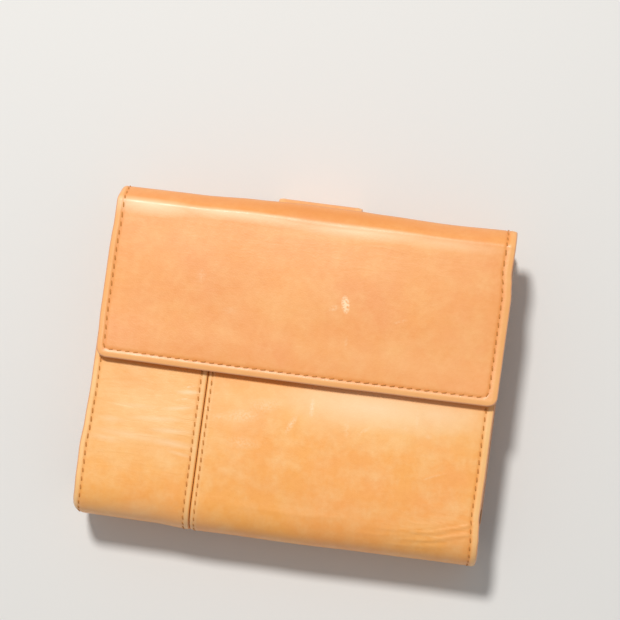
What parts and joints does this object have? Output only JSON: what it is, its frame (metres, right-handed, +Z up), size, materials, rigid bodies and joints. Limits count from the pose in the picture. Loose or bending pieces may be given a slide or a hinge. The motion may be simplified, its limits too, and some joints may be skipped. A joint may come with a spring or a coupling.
{
  "type": "bifold wallet",
  "caption": "Compact leather bifold wallet with a flapped coin purse on the front, card pockets inside and a snap strap at the back.",
  "frame": {"origin": "middle of the closed wallet's footprint, on the surface that it lies on", "axes": "+X across the width, +Y from the spine to the top fold, +Z up through the coin flap"},
  "size_m": [0.112, 0.0954, 0.0254],
  "materials": {
    "outer_leather": "natural tan, semi-matt, burnished edges",
    "inner_leather": "paler tan, matt",
    "lining_suede": "split suede, matt",
    "snap_brass": "aged, satin",
    "hidden_steel": "plated, hidden between layers"
  },
  "bodies": {
    "back_half": {"back_panel_left": "outer_leather", "back_panel_right": "outer_leather", "back_lining": "lining_suede", "back_inner_panel": "inner_leather", "back_card_pocket_upper": "inner_leather", "back_card_pocket_lower": "inner_leather", "strap_base_leather": "outer_leather", "strap_base_lining": "lining_suede", "strap_snap_stud": "snap_brass", "strap_stud_rivet": "snap_brass"},
    "spine": {"spine_leather_left": "outer_leather", "spine_leather_right": "outer_leather", "spine_lining": "lining_suede"},
    "front_half": {"front_panel_left": "outer_leather", "front_panel_right": "outer_leather", "front_lining": "lining_suede", "coin_back_wall": "outer_leather", "coin_lining": "lining_suede", "coin_gusset_left": "inner_leather", "coin_gusset_right": "inner_leather", "flap_catch_plate": "hidden_steel", "front_inner_panel": "inner_leather", "front_card_pocket_upper": "inner_leather", "front_card_pocket_lower": "inner_leather"},
    "flap": {"flap_leather": "outer_leather", "flap_lining": "lining_suede", "flap_magnet": "hidden_steel"},
    "strap": {"strap_tongue_leather": "outer_leather", "strap_tongue_lining": "lining_suede", "strap_snap_cap": "snap_brass", "strap_snap_socket": "snap_brass"}
  },
  "joints": [
    {"name": "spine_back_fold", "type": "hinge", "parent": "back_half", "child": "spine", "pos_m": [0, -0.0443, 0.0034], "axis": [1, 0, 0], "range_deg": [0, 90]},
    {"name": "spine_front_fold", "type": "hinge", "parent": "spine", "child": "front_half", "pos_m": [0, -0.0443, 0.0198], "axis": [1, 0, 0], "range_deg": [0, 90]},
    {"name": "flap_fold", "type": "hinge", "parent": "front_half", "child": "flap", "pos_m": [0, 0.0447, 0.0199], "axis": [-1, 0, 0], "range_deg": [0, 175]},
    {"name": "strap_fold", "type": "hinge", "parent": "back_half", "child": "strap", "pos_m": [0, 0.0477, 0.00575], "axis": [1, 0, 0], "range_deg": [0, 170]}
  ],
  "couplings": [
    {"joint": "spine_back_fold", "follows": "spine_front_fold", "ratio": 1}
  ]
}
